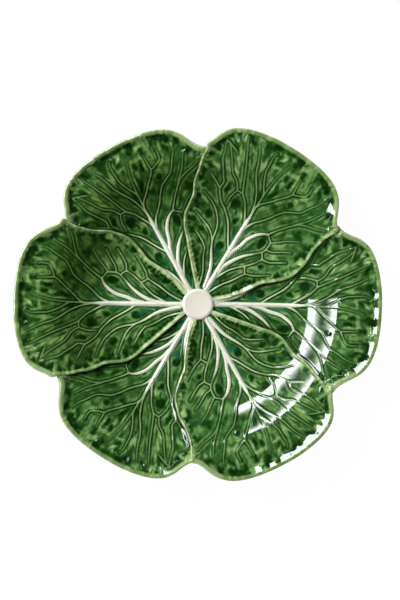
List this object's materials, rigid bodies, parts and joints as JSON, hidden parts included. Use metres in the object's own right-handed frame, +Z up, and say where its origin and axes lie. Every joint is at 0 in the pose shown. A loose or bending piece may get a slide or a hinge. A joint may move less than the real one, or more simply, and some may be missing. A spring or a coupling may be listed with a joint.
{
  "type": "cabbage leaf plate",
  "caption": "Round glazed earthenware plate moulded as overlapping cabbage leaves with raised midribs, side veins and lips round a cut stalk, on a foot ring.",
  "frame": {"origin": "centre of the plate on the table, at the middle of the foot ring's flat face", "axes": "+Z up, out of the plate; +X along the midrib of lower_leaf_1, the right-hand leaf in the picture; +Y towards the picture's top"},
  "size_m": [0.265, 0.2538, 0.03],
  "materials": {
    "foot_glaze": "gloss",
    "stalk_glaze": "gloss",
    "lower_leaf_glaze": "gloss",
    "upper_leaf_glaze": "gloss"
  },
  "bodies": {
    "root": {"foot_ring": "foot_glaze", "stalk": "stalk_glaze", "lower_leaf_1": "lower_leaf_glaze", "lower_leaf_2": "lower_leaf_glaze", "lower_leaf_3": "lower_leaf_glaze", "upper_leaf_1": "upper_leaf_glaze", "upper_leaf_2": "upper_leaf_glaze", "upper_leaf_3": "upper_leaf_glaze"}
  },
  "joints": []
}
